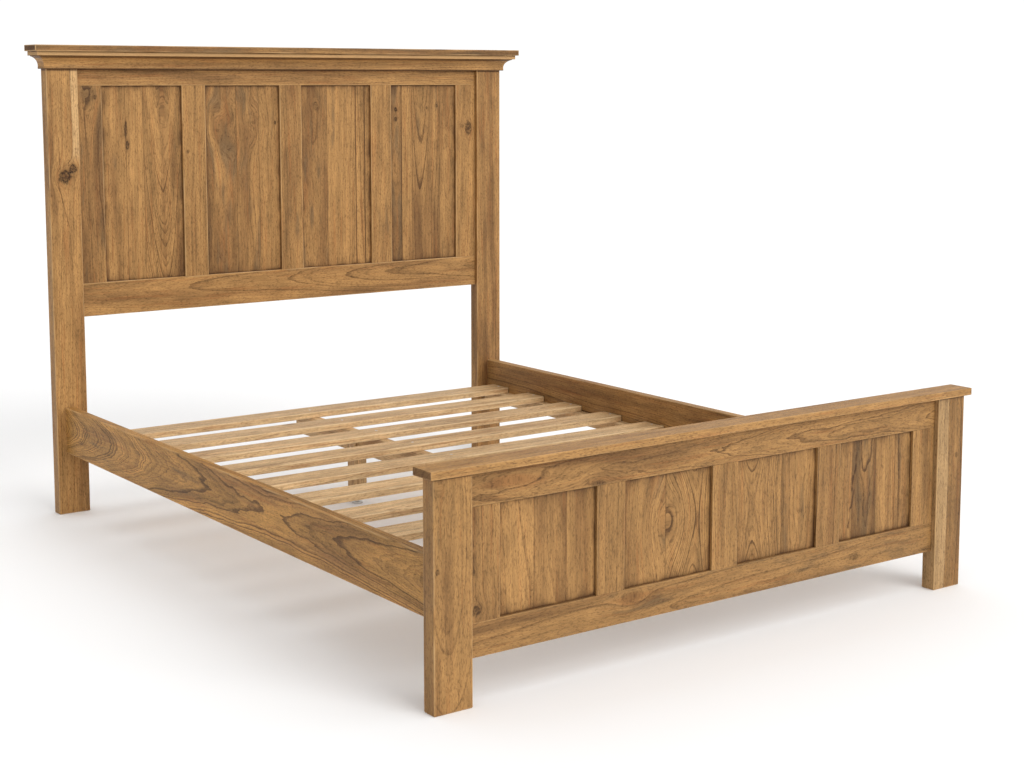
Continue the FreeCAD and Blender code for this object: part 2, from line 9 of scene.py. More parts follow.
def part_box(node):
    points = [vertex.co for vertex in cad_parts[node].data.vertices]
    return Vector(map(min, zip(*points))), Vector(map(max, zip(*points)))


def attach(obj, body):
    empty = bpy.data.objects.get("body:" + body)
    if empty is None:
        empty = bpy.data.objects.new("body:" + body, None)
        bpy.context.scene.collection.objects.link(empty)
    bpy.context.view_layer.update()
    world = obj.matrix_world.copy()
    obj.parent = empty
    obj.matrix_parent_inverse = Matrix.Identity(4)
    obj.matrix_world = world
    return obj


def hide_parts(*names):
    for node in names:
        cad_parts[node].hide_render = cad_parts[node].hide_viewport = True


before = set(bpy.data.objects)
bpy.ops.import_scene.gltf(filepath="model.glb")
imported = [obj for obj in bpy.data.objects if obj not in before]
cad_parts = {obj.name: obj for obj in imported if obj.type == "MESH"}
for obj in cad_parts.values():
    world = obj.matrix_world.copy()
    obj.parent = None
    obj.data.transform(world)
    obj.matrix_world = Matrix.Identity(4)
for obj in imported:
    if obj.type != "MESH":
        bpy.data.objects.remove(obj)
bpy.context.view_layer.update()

# Headboard posts
# Flat boards of character hardwood, planed square, with eased corners painted pale, as sanding wear and as
# painted highlight.
# Each is mortised for the two rails of the headboard and stands on the floor on its own end grain.


class Wire:
    """An output in a shader tree. Sums with wires and plain numbers place the Math nodes for them."""

    def __init__(self, tree, socket):
        self.tree = tree
        self.socket = socket

    def calc(self, operation, *values):
        """One Math node on this wire, with other wires or plain numbers as its next values."""
        return place(self.tree, "Math", dict(enumerate((self, *values))), operation=operation)

    def rise(self, low, high):
        """0 below one value, 1 above another, and a smooth step between them."""
        ends = {"Value": self, "From Min": low, "From Max": high}
        return place(self.tree, "MapRange", ends, interpolation_type="SMOOTHSTEP")

    def split(self):
        """The three parts of a vector, each on its own wire."""
        return [place(self.tree, "SeparateXYZ", {0: self}, out=axis) for axis in range(3)]

    def stretched(self, along, across):
        """A board's coordinates counted in cells that are longer along the grain than across it."""
        cells = (1 / along, 1 / across, 1 / across)
        return place(self.tree, "VectorMath", {0: self, 1: cells}, operation="MULTIPLY")

    def noise(self, log, detail=2.0, out="Fac", grit=0.5):
        """Smooth noise from 0 to 1 over these coordinates. Each log has its own, and a number added to the
        log picks another. Grit roughens its detail."""
        inputs = {"Vector": self, "W": log, "Scale": 1.0, "Detail": detail, "Roughness": grit}
        return place(self.tree, "TexNoise", inputs, out=out, noise_dimensions="4D")

    def toward(self, other, share):
        """This colour mixed with another by a share from 0 to 1."""
        inputs = {0: share, 6: self, 7: other}
        return place(self.tree, "Mix", inputs, out=2, data_type="RGBA")

    def __add__(self, other):
        return self.calc("ADD", other)

    def __sub__(self, other):
        return self.calc("SUBTRACT", other)

    def __mul__(self, other):
        return self.calc("MULTIPLY", other)

    def __truediv__(self, other):
        return self.calc("DIVIDE", other)

    def __rsub__(self, other):
        return self.calc("MULTIPLY", -1.0) + other

    __radd__ = __add__
    __rmul__ = __mul__


def join(tree, value, socket):
    """Feeds a socket with a wire, or sets it to a plain value."""
    if isinstance(value, Wire):
        tree.links.new(value.socket, socket)
    else:
        socket.default_value = value


def place(tree, kind, inputs, out=0, **settings):
    """Places one shader node with its inputs and settings, and gives the wire of one output."""
    node = tree.nodes.new("ShaderNode" + kind)
    for name, value in settings.items():
        setattr(node, name, value)
    for key, value in inputs.items():
        join(tree, value, node.inputs[key])
    return Wire(tree, node.outputs[out]) if node.outputs else None


def effect(name, inputs, outputs):
    """Makes a node group out of the function below it, which takes input wires and gives output wires."""
    kinds = {float: "NodeSocketFloat", 3: "NodeSocketVector", 4: "NodeSocketColor"}

    def build(recipe):
        tree = bpy.data.node_groups.new(name, "ShaderNodeTree")
        for label, value in inputs.items():
            kind = kinds[float if isinstance(value, float) else len(value)]
            tree.interface.new_socket(label, in_out="INPUT", socket_type=kind).default_value = value
        for label in outputs:
            kind = kinds[4] if label.endswith("Colour") else kinds[float]
            tree.interface.new_socket(label, in_out="OUTPUT", socket_type=kind)
        entry = tree.nodes.new("NodeGroupInput")
        wires = [Wire(tree, entry.outputs[label]) for label in inputs]
        results = recipe(*wires)
        results = results if isinstance(results, tuple) else (results,)
        leave = tree.nodes.new("NodeGroupOutput")
        for label, wire in zip(outputs, results):
            join(tree, wire, leave.inputs[label])
        return tree

    return build


def use(tree, group, **inputs):
    """Places a group in a material and gives its outputs by name. An underscore stands for a space."""
    node = tree.nodes.new("ShaderNodeGroup")
    node.node_tree = group
    for label, value in inputs.items():
        join(tree, value, node.inputs[label.replace("_", " ")])
    return {socket.name: Wire(tree, socket) for socket in node.outputs}


def shade(red, green, blue):
    """A colour as a paint chip is read, 0 to 255, made linear."""
    chip = np.array((red, green, blue)) / 255
    linear = np.where(chip < 0.04045, chip / 12.92, ((chip + 0.055) / 1.055) ** 2.4)
    return (*linear.tolist(), 1.0)


BOARD = (0.0, 0.0, 0.0)


@effect(
    "knot",
    {"Board": BOARD, "Log": 0.0, "Along": 0.0, "Across": 0.0, "Size": 10.0, "Stretch": 1.4},
    ["Bend", "Lift", "Core", "Halo"],
)
def knot(board, log, at_along, at_across, size, stretch):
    """A bell round one place, longer along the grain. It bends the grain aside and lifts the rings, so that
    both flow round the knot. The core is a ragged dark rim about a brown middle, in a stained halo."""
    along, across, _ = board.split()
    run = (along - at_along) / stretch
    reach = across - at_across
    share = (run * run + reach * reach).calc("SQRT") / size
    bell = (share * share * -0.22).calc("EXPONENT")
    ragged = share + (board.stretched(17, 12).noise(log + 31.0, 3.0, grit=0.6) - 0.5) * 1.5
    broken = board.stretched(7, 5).noise(log + 37.0, 2.0).rise(0.32, 0.6)
    rim = ragged.rise(0.2, 0.7) * (1.0 - ragged.rise(0.8, 1.25)) * (broken * 0.7 + 0.3)
    middle = (1.0 - ragged.rise(0.0, 0.9)) * (broken * 0.5 + 0.35)
    halo = (share * share * -0.45).calc("EXPONENT")
    return reach * bell, bell * size * 0.7, rim.calc("MAXIMUM", middle), halo


@effect(
    "growth rings",
    {"Board": BOARD, "Log": 0.0, "Pith across": 0.0, "Pith depth": 60.0, "Bow": 0.0, "Taper": 0.03,
     "Ring": 4.0, "Curl": 2.0, "Lift": 0.0},
    ["Line", "Band", "Radius"],
)
def growth_rings(board, log, pith_across, pith_depth, bow, taper, ring, curl, lift):
    """How far a point lies from the log's bowed and wandering pith, less the log's taper, counted in rings.
    A ring ends in a thin dark line, far darker in some rings than in others. Whole bands of rings differ."""
    wander = 22.0
    along, across, depth = board.split()
    hundreds = along * 0.01
    sway_across, sway_depth, _ = board.stretched(430, 260).noise(log, 1.0, out="Color").split()
    from_across = across - pith_across + (sway_across - 0.5) * wander
    from_depth = depth - pith_depth + (sway_depth - 0.5) * wander - hundreds * hundreds * bow
    radius = (from_across * from_across + from_depth * from_depth).calc("SQRT")
    swirl = (board.stretched(85, 26).noise(log + 3.7, 2.0) - 0.5) * curl
    waver = (board.stretched(120, 7).noise(log + 7.3, 1.0) - 0.5) * 1.5
    radius = radius - taper * along + swirl + waver + lift

    def slow_change(count, pace):
        inputs = {"W": count * pace + log, "Scale": 1.0, "Detail": 1.0}
        return place(board.tree, "TexNoise", inputs, noise_dimensions="1D")

    even_count = radius / ring
    count = even_count + slow_change(even_count, 0.35) * 2.2
    phase = count.calc("FRACT")
    to_line = (1.0 - phase) * ring
    line = (1.0 - to_line.rise(0.3, 1.9)) * 0.85 + phase.rise(0.2, 1.0) * 0.15
    strength = place(board.tree, "TexWhiteNoise", {"W": count.calc("FLOOR") + log}, noise_dimensions="1D")
    return line * (strength * strength * 0.8 + 0.2), slow_change(count, 0.21), radius


@effect(
    "fibres and pores", {"Board": BOARD, "Log": 0.0},
    ["Fibre", "Streak", "Mottle", "Dash", "Fleck", "Pore"],
)
def fibres_and_pores(board, log):
    """Noise drawn out along the grain at six sizes: fine fibres, broad streaks, the soft mottle of wavy
    fibres, and the dark marks of pores that took up stain, as long dashes, short flecks and single pores."""
    fibre = board.stretched(46, 3.6).noise(log, 4.0, grit=0.66)
    streak = board.stretched(300, 13).noise(log + 11.1, 3.0)
    mottle = board.stretched(75, 30).noise(log + 13.9, 3.0)
    dash = board.stretched(70, 3.2).noise(log + 17.3, 2.0).rise(0.55, 0.7)
    fleck = board.stretched(9, 2.8).noise(log + 5.9, 2.0).rise(0.5, 0.66)
    pore = board.stretched(6, 0.5).noise(log + 2.3, 1.0).rise(0.54, 0.66)
    return fibre, streak, mottle, dash, fleck, pore


@effect(
    "heartwood", {"Board": BOARD, "Log": 0.0, "Heart share": 0.4, "Mineral share": 0.1},
    ["Heart", "Mineral", "Red"],
)
def heartwood(board, log, heart_share, mineral_share):
    """Long browner clouds that follow the grain, shorter grey ones where minerals stained the wood, and
    narrow reddish streaks. A share moves the level at which its clouds start."""
    cloud = board.stretched(480, 44).noise(log + 21.7, 3.0)
    smoke = board.stretched(150, 26).noise(log + 27.1, 3.0)
    blush = board.stretched(170, 8).noise(log + 29.9, 2.0)
    heart = (cloud + heart_share * 0.56).rise(0.66, 0.92)
    mineral = (smoke + mineral_share * 0.5).rise(0.68, 0.86)
    return heart, mineral, blush.rise(0.52, 0.72)


@effect("rubbed edges", {"Board": BOARD, "Log": 0.0, "Half": (1.0, 1.0, 1.0)}, ["Rubbed", "End"])
def worn_and_lit_edges(board, log, half):
    """The middle one of the three distances to a box's faces is the distance to its nearest edge.
    Where that is small the edge is painted paler in patches, as thinned stain and as painted highlight. A
    point on an end face is end grain."""
    depths = place(board.tree, "VectorMath", {0: board}, operation="ABSOLUTE")
    inside = place(board.tree, "VectorMath", {0: half, 1: depths}, operation="SUBTRACT")
    along, across, depth = inside.split()
    lesser, greater = along.calc("MINIMUM", across), along.calc("MAXIMUM", across)
    edge = lesser.calc("MAXIMUM", greater.calc("MINIMUM", depth))
    patches = board.stretched(120, 60).noise(log + 43.0, 3.0).rise(0.3, 0.6)
    thin_stain_and_highlight = (1.0 - edge.rise(0.8, 4.2)) * patches
    return thin_stain_and_highlight, 1.0 - along.rise(0.15, 0.5)


@effect("recess glaze", {"Board": BOARD, "Log": 0.0, "Half": (1.0, 1.0, 1.0)}, ["Glaze"])
def recess_glaze_and_shade(board, log, half):
    """Darkening along the edges of a recess that fades with the distance from them, fast at first and then
    slowly, in uneven patches: the fast part is a painted shade line at the edge, the slow part dark glazing."""
    reach, wide = 2.6, 13.0
    depths = place(board.tree, "VectorMath", {0: board}, operation="ABSOLUTE")
    inside = place(board.tree, "VectorMath", {0: half, 1: depths}, operation="SUBTRACT")
    along, across, _ = inside.split()
    # Painted shade: the narrow dark line right at the recess's edges. The wide smear is dark glazing.
    shade_line = (along / reach * -1.0).calc("EXPONENT") + (across / reach * -1.0).calc("EXPONENT")
    smear = (along / wide * -1.0).calc("EXPONENT") + (across / wide * -1.0).calc("EXPONENT")
    patches = board.stretched(90, 40).noise(log + 51.0, 2.0)
    blotches = board.stretched(60, 40).noise(log + 53.0, 3.0).rise(0.3, 0.7)
    return (shade_line * patches + smear * blotches * 0.62).calc("MINIMUM", 1.0)


@effect(
    "stain",
    {"Line": 0.0, "Band": 0.5, "Fibre": 0.5, "Streak": 0.5, "Mottle": 0.5, "Dash": 0.0, "Fleck": 0.0,
     "Pore": 0.0, "Heart": 0.0, "Mineral": 0.0, "Red": 0.0, "Sap": 0.0, "Core": 0.0, "Halo": 0.0,
     "Rubbed": 0.0, "End": 0.0, "Glaze": 0.0, "Tone": 1.0, "Lines": 1.0,
     "Honey": shade(169, 127, 76), "Brown": shade(131, 95, 56), "Grey": shade(112, 89, 60),
     "Russet": shade(146, 93, 49), "Sapwood": shade(192, 155, 107), "Dark": shade(72, 45, 22),
     "Pale": shade(200, 162, 113)},
    ["Colour", "Roughness", "Height"],
)
def stain(line, band, fibre, streak, mottle, dash, fleck, pore, heart, mineral, red, sap, core, halo,
          thin_stain_and_highlight, end, marks_and_shade, tone, lines, honey, brown, grey, russet, sapwood, dark, pale):
    """Honey, brown, grey, russet and sapwood colours by their masks, darkened along the rings, pores, knots,
    veins, dark glazing and painted shade, and paler at the edges, as thinned stain and painted highlight.
    Pores and rings sink in a little, and pores are duller."""
    black_knot = shade(36, 22, 13)
    colour = honey.toward(brown, heart).toward(grey, mineral * 0.7).toward(russet, red * 0.45)
    colour = colour.toward(sapwood, sap * 0.85)
    marks = line * lines * 0.62 + dash * 0.18 + fleck * 0.36 + pore * 0.26 + end * 0.6
    colour = colour.toward(dark, marks.calc("MINIMUM", 0.85))
    # Knot halos and dark marks darken the colour: veins, glue lines and glazing, with painted shade in
    # corners, under overhangs and in bands.
    colour = colour.toward(dark, (halo * 0.5 + marks_and_shade).calc("MINIMUM", 0.9))
    colour = colour.toward(black_knot, core * 0.9)
    light = (fibre - 0.5) + (streak - 0.5) * 0.65 + (mottle - 0.5) * 0.6 + (band - 0.5) * 0.5 * lines
    light = (light + 1.04) * tone
    even = place(light.tree, "CombineColor", {0: light, 1: light, 2: light})
    colour = place(light.tree, "Mix", {0: 1.0, 6: colour, 7: even}, out=2, data_type="RGBA",
                   blend_type="MULTIPLY")
    # Paler edges: stain thinned by use, together with painted highlight along the arrises.
    colour = colour.toward(pale, thin_stain_and_highlight * 0.7)
    roughness = fibre * 0.14 + pore * 0.1 + core * 0.2 + end * 0.15 + 0.42
    height = fibre * 0.25 - pore * 0.5 - fleck * 0.3 - line * 0.5 - core * 1.5
    return colour, roughness, height


@effect(
    "vein",
    {"Board": BOARD, "Log": 0.0, "Top along": 100.0, "Top across": 0.0, "Foot along": 0.0,
     "Foot across": 0.0, "Half width": 1.2},
    ["Vein"],
)
def vein(board, log, top_along, top_across, foot_along, foot_across, half_width):
    """A thin dark line from one place on a board to another. It sways by noise, and it thins and breaks."""
    along, across, _ = board.split()
    share = (along - foot_along) / (top_along - foot_along)
    sway = (board.stretched(38, 300).noise(log + 61.0, 2.0) - 0.5) * 11.0
    middle = foot_across + (top_across - foot_across) * share + sway
    within = share.rise(0.0, 0.12) * (1.0 - share.rise(0.88, 1.0))
    broken = board.stretched(26, 300).noise(log + 67.0, 2.0).rise(0.3, 0.55)
    line = 1.0 - (across - middle).calc("ABSOLUTE").rise(half_width * 0.4, half_width)
    return line * within * broken


GRAIN_UP = Matrix(((0, 0, 1), (1, 0, 0), (0, 1, 0)))
MILLIMETRES = 1000


class Cut(NamedTuple):
    """How one stave was cut from its log, in millimetres: where the pith lies across the stave's board and
    behind its middle, how the pith bows away from it, the taper and width of the rings, and its colouring."""
    width: float = 0.0
    pith_across: float = 0.0
    pith_depth: float = 60.0
    bow: float = 0.0
    taper: float = 0.03
    ring: float = 4.0
    curl: float = 2.0
    heart: float = 0.35
    mineral: float = 0.1
    tone: float = 1.0
    lines: float = 1.0


class Knot(NamedTuple):
    """Where a knot lies on its board, its size, its stretch along the grain, and how dark it is, 0 to 1."""
    along: float
    across: float
    size: float
    stretch: float
    darkness: float


class Vein(NamedTuple):
    """The two ends of a dark line on a board, half its width, and how dark it is, 0 to 1."""
    top_along: float
    top_across: float
    foot_along: float
    foot_across: float
    half_width: float
    darkness: float


class Sapwood(NamedTuple):
    """The radius in the log at which a board's sapwood starts, and the height from which it shows."""
    radius: float
    height: float


def by_stave(across, edges, values):
    """One value for each stave of a glued-up board: it changes at the edges between the staves."""
    result = values[0]
    for edge, before, after in zip(edges, values, values[1:]):
        if after != before:
            result = across.calc("GREATER_THAN", edge).calc("MULTIPLY_ADD", after - before, result)
    return result


def new_material(name):
    """A material with an empty node tree."""
    material = bpy.data.materials.new(name)
    material.use_nodes = True
    material.node_tree.nodes.clear()
    return material


def dress(node, material):
    """Gives a CAD node its material."""
    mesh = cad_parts[node].data
    mesh.materials.clear()
    mesh.materials.append(material)


def wooden(node, grain, log, *cuts, knots=(), veins=(), bands=(), sap=None, recess=0, under=None, rub_and_highlight=1.0,
           colours=None):
    """Wood for one board, from one cut or from several staves side by side, with its knots, veins and
    sapwood, and bands across it that are painted paler or darker: the crown's and rails' bands are painted
    highlight and painted shade, the panels' bands dark glue lines. A recess is how far the board's edges lie
    hidden in grooves, with dark glazing and a painted shade line where they enter. Under names a piece that
    overhangs an upright board, with painted shadow in the corner below it. Rub scales how pale the edges are
    painted, as stain thinned by use and as painted highlight. The log's number seeds all noise, and lengths
    are in millimetres."""
    material = new_material("wood_" + node)
    tree = material.node_tree
    low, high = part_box(node)
    middle = grain @ (low + high) * (MILLIMETRES / 2)
    half = Vector([abs(size) for size in grain @ (high - low) * (MILLIMETRES / 2)])
    place_in_board = {"Vector": place(tree, "TexCoord", {}, out="Object"), "Location": -middle,
                      "Rotation": grain.to_euler(), "Scale": (MILLIMETRES,) * 3}
    board = place(tree, "Mapping", place_in_board)
    along, across, depth = board.split()

    next_log = 1.7
    edges = (np.cumsum([cut.width for cut in cuts])[:-1] - half.y + recess).tolist()
    cut = Cut(*[by_stave(across, edges, values) for values in zip(*cuts)])
    logs = by_stave(across, edges, [log + next_log * number for number in range(len(cuts))])
    marks_and_shade = 0.0
    for edge in edges:
        glue_line = 1.0 - (across - edge).calc("ABSOLUTE").rise(0.3, 2.2)
        marks_and_shade = glue_line * 0.45 + marks_and_shade

    bend, lift, core, halo = 0.0, 0.0, 0.0, 0.0
    for spot in knots:
        made = use(tree, knot, Board=board, Log=log, Along=spot.along, Across=spot.across, Size=spot.size,
                   Stretch=spot.stretch)
        bend = made["Bend"] + bend
        lift = made["Lift"] + lift
        core = made["Core"] * spot.darkness + core
        halo = made["Halo"] * spot.darkness + halo
    for line in veins:
        made = use(tree, vein, Board=board, Log=log, Top_along=line.top_along, Top_across=line.top_across,
                   Foot_along=line.foot_along, Foot_across=line.foot_across, Half_width=line.half_width)
        marks_and_shade = made["Vein"] * line.darkness + marks_and_shade
    flow = board
    if knots:
        aside = place(tree, "CombineXYZ", {1: bend})
        flow = place(tree, "VectorMath", {0: board, 1: aside}, operation="SUBTRACT")

    rings = use(tree, growth_rings, Board=flow, Log=logs, Pith_across=cut.pith_across,
                Pith_depth=cut.pith_depth, Bow=cut.bow, Taper=cut.taper, Ring=cut.ring, Curl=cut.curl,
                Lift=lift)
    fibres = use(tree, fibres_and_pores, Board=flow, Log=logs)
    clouds = use(tree, heartwood, Board=flow, Log=logs, Heart_share=cut.heart, Mineral_share=cut.mineral)
    edges_worn_and_lit = use(tree, worn_and_lit_edges, Board=board, Log=log, Half=half)
    # Painted highlight and wear: the edges are painted paler, by a factor given for each board.
    edge_wear_and_highlight = edges_worn_and_lit["Rubbed"] * rub_and_highlight
    soft = 0.6
    # Bands paint strips paler above zero and darker below: painted highlight and painted shade on the crown
    # and rails, dark glue lines on the panels.
    for band in bands:
        above = across.rise(band.low - soft, band.low + soft)
        below = 1.0 - across.rise(band.high - soft, band.high + soft)
        if band.paler_by > 0:
            edge_wear_and_highlight = (above * below * band.paler_by).calc("MAXIMUM", edge_wear_and_highlight)
        else:
            marks_and_shade = above * below * -band.paler_by + marks_and_shade
    # Dark glazing and a painted shade line along the edges of a recessed panel.
    if recess:
        opening = half - Vector((recess, recess, 0))
        remains = use(tree, recess_glaze_and_shade, Board=board, Log=log, Half=opening)
        marks_and_shade = remains["Glaze"] * 1.35 + marks_and_shade
        edge_wear_and_highlight = 0.0
    # Painted shadow: a dark line in the corner below an overhanging piece, kept off the board's back face.
    if under:
        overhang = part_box(under)[0].z * MILLIMETRES - middle.x
        below = along.rise(overhang - 6.25, overhang - 3.75)
        corner = below * (1.0 - along.rise(overhang + 1.25, overhang + 3.25))
        off_the_back = 1.0 - depth.rise(half.z - 1.5, half.z - 0.5)
        marks_and_shade = corner * off_the_back * 0.75 + marks_and_shade
    sapwood = 0.0
    if sap:
        outer = rings["Radius"].rise(sap.radius - 2, sap.radius + 2)
        sapwood = outer * along.rise(sap.height - 25, sap.height + 25)

    made = use(tree, stain, Line=rings["Line"], Band=rings["Band"], **fibres, **clouds, Sap=sapwood,
               Core=core, Halo=halo, Rubbed=edge_wear_and_highlight, End=edges_worn_and_lit["End"], Glaze=marks_and_shade, Tone=cut.tone,
               Lines=cut.lines, **(colours or {}))
    bump = {"Height": made["Height"], "Strength": 0.6, "Distance": 0.0006}
    satin = {"Base Color": made["Colour"], "Roughness": made["Roughness"],
             "Normal": place(tree, "Bump", bump, out="Normal"), "Specular IOR Level": 0.2}
    place(tree, "OutputMaterial", {"Surface": place(tree, "BsdfPrincipled", satin)})
    dress(node, material)


wooden("headboard_post_left", GRAIN_UP, 1.0,
       Cut(pith_across=-105, pith_depth=62, taper=0.02, ring=5.0, tone=1.05),
       knots=[Knot(330, 0, 18, 1.1, 1.0), Knot(352, 26, 12, 1.2, 1.0)],
       veins=[Vein(455, -18, 345, -14, 1.6, 0.7), Vein(312, -22, 160, 14, 1.6, 0.7),
              Vein(150, 10, -40, 22, 1.3, 0.4)],
       sap=Sapwood(145, 385), under="headboard_crown_front")
wooden("headboard_post_right", GRAIN_UP, 2.0,
       Cut(pith_across=90, pith_depth=75, taper=0.015, ring=5.0, heart=0.4, tone=0.96),
       under="headboard_crown_front")

# Headboard rails
# Two boards on edge, of the same stained hardwood as the posts. Each has a tenon at both ends, glued into
# the posts' mortises, and a groove along its inner edge that takes the stiles, mullions and panels.

GRAIN_ACROSS = Matrix(((1, 0, 0), (0, 0, 1), (0, -1, 0)))


class Band(NamedTuple):
    """A strip across a board, from one edge to the other, painted paler by a share above zero and darker
    below zero.
    """
    low: float
    high: float
    paler_by: float


wooden("headboard_top_rail", GRAIN_ACROSS, 3.0,
       Cut(pith_across=-90, pith_depth=-60, taper=0.02, heart=0.3, ring=5.0),
       # Painted shadow: the dark band on this rail lies in the shade of the crown's foot.
       bands=[Band(-4.5, 3.0, -0.8)], rub_and_highlight=0.6)
wooden("headboard_bottom_rail", GRAIN_ACROSS, 4.0, Cut(pith_across=20, pith_depth=-50, taper=0.04, ring=5.0))

# Headboard stiles and mullions
# Short upright boards of the same hardwood between the two rails: a stile at each end and three mullions.
# Stub tenons hold them in the rails' grooves, and their own edges are grooved where a panel enters.

wooden("headboard_end_stile_left", GRAIN_UP, 5.0,
       Cut(pith_across=70, pith_depth=40, heart=0.5, mineral=0.35, tone=0.97, ring=5.0, curl=7, lines=1.4),
       knots=[Knot(265, 18, 4, 1.8, 0.8), Knot(282, -6, 20, 2.2, 0.25)],
       veins=[Vein(270, -22, 60, -8, 2.2, 0.6), Vein(200, 26, 40, 20, 2.2, 0.6)])
wooden("headboard_mullion_1", GRAIN_UP, 6.0,
       Cut(pith_across=-100, pith_depth=50, heart=0.15, mineral=0.0, ring=5.0),
       knots=[Knot(93, -24, 4, 1.3, 0.9)])
wooden("headboard_mullion_2", GRAIN_UP, 7.0,
       Cut(pith_across=80, pith_depth=60, heart=0.4, mineral=0.3, ring=5.0))
wooden("headboard_mullion_3", GRAIN_UP, 8.0,
       Cut(pith_across=-60, pith_depth=45, heart=0.3, mineral=0.25, ring=5.0))
wooden("headboard_end_stile_right", GRAIN_UP, 9.0, Cut(pith_across=-60, pith_depth=55, heart=0.3, ring=5.0),
       knots=[Knot(150, 12, 12, 1.8, 0.95), Knot(158, -14, 8, 0.8, 0.4)])

# Headboard panels
# Flat panels glued up from staves of different logs, so that colour and figure change at each glue line.
# They sit loose in the grooves of rails and stiles, free to swell; dark glazing was left at their edges, with
# a painted shade line.

GROOVE = 8

wooden("headboard_panel_1", GRAIN_UP, 10.0,
       Cut(77, pith_across=-190, pith_depth=40, ring=6.0, heart=0.45),
       Cut(58, pith_across=-180, pith_depth=50, ring=6.0, heart=0.2, mineral=0.0, tone=1.04),
       Cut(128.5, pith_across=66, pith_depth=30, bow=0.2, taper=0.09, ring=3.6, lines=1.2),
       knots=[Knot(165, -54, 5, 5.0, 0.9), Knot(118, -49, 6, 2.5, 0.9), Knot(229, 68, 10, 5.0, 0.0)],
       recess=GROOVE)
wooden("headboard_panel_2", GRAIN_UP, 14.0,
       Cut(110, pith_across=-70, pith_depth=28, ring=6.0, curl=22, heart=0.5, mineral=0.4, lines=1.2),
       Cut(80, pith_across=90, pith_depth=40, ring=6.0, curl=20, heart=0.45, mineral=0.35, lines=1.2),
       Cut(73.5, pith_across=240, pith_depth=60, ring=7.0, heart=0.25),
       knots=[Knot(180, 118, 4, 1.3, 0.8), Knot(232, -96, 17, 1.1, 0.04), Knot(196, -56, 22, 1.2, 0.0),
              Knot(240, -24, 15, 1.3, 0.0), Knot(150, -88, 20, 1.2, 0.03), Knot(158, -18, 17, 1.2, 0.05),
              Knot(205, 16, 15, 1.4, 0.0), Knot(108, -46, 20, 1.3, 0.0), Knot(236, 46, 13, 1.2, 0.0),
              Knot(176, 48, 16, 1.2, 0.05), Knot(136, 24, 15, 1.3, 0.0)],
       recess=GROOVE)
wooden("headboard_panel_3", GRAIN_UP, 18.0,
       Cut(98, pith_across=-80, pith_depth=35, curl=8, ring=5.0, heart=0.5, mineral=0.35),
       Cut(110, pith_across=-160, pith_depth=60, ring=6.0, heart=0.2, mineral=0.2, tone=1.07),
       Cut(34, pith_across=230, pith_depth=60, ring=6.0, heart=0.1, tone=1.06),
       Cut(21.5, pith_across=260, pith_depth=60, ring=6.0, heart=0.3),
       knots=[Knot(235, -75, 7, 1.4, 0.35)],
       bands=[Band(74.4, 78.2, -0.6), Band(108.4, 112.2, -0.6)], recess=GROOVE)
wooden("headboard_panel_4", GRAIN_UP, 23.0,
       Cut(45, pith_across=-110, pith_depth=30, curl=9, ring=5.0, heart=0.5, mineral=0.45, tone=0.96),
       Cut(43, pith_across=-200, pith_depth=60, ring=6.0, heart=0.2),
       Cut(112, pith_across=-10, pith_depth=45, ring=5.0, heart=0.45, mineral=0.2, tone=0.94, lines=1.3),
       Cut(63.5, pith_across=100, pith_depth=32, curl=9, ring=5.0, heart=0.45, tone=0.97),
       knots=[Knot(218, -109, 6, 1.3, 1.0), Knot(187, -110, 6, 1.2, 1.0), Knot(222, 16, 3.5, 1.4, 0.8),
              Knot(228, 57, 4, 1.4, 0.8)],
       bands=[Band(-88.6, -84.8, -0.55)], recess=GROOVE)

# Crown
# A cove moulding of the same hardwood, run along the front of the headboard and mitred to a short return at
# each end. A plain strip behind it fills the frame's setback. All four are glued on.

GRAIN_LENGTHWISE = Matrix(((0, 1, 0), (0, 0, 1), (1, 0, 0)))
MOULDING = Cut(pith_across=-90, pith_depth=-60, taper=0.02, ring=6.0, heart=0.3, tone=1.04)
# Painted light on the moulding: the fillet's pale band is a painted highlight, and the quirk, the foot and
# the strip under the cap are painted shadow lines.
FILLET_HIGHLIGHT = Band(13.8, 22.6, 0.8)
QUIRK_SHADOW = Band(6.5, 13.2, -0.65)
FOOT_SHADE = Band(-27.0, -23.4, -0.75)
UNDER_CAP_SHADOW = Band(23.0, 27.0, -0.75)
PROFILE = [FILLET_HIGHLIGHT, QUIRK_SHADOW, FOOT_SHADE, UNDER_CAP_SHADOW]

wooden("headboard_crown_front", GRAIN_ACROSS, 30.0, MOULDING, bands=PROFILE)
wooden("headboard_crown_return_left", GRAIN_LENGTHWISE, 31.0, MOULDING, bands=PROFILE)
wooden("headboard_crown_return_right", GRAIN_LENGTHWISE, 32.0, MOULDING, bands=PROFILE)
wooden("headboard_crown_backing", GRAIN_ACROSS, 33.0, MOULDING)

# Headboard cap
# One flat board of darker hardwood, flush with the backs of the posts and eased on its other edges.
# It is glued down on the posts, on the crown and on the strip behind it.

GRAIN_FLAT = Matrix.Identity(3)

wooden("headboard_cap", GRAIN_FLAT, 34.0,
       Cut(pith_across=-10, pith_depth=-60, heart=0.6, mineral=0.4, tone=0.86, ring=6.0))

# Footboard posts
# Cut from the same stock as the headboard's posts and eased in the same way, but less than half as high.
# They are mortised for the footboard's two rails and stand on the floor on their own end grain.

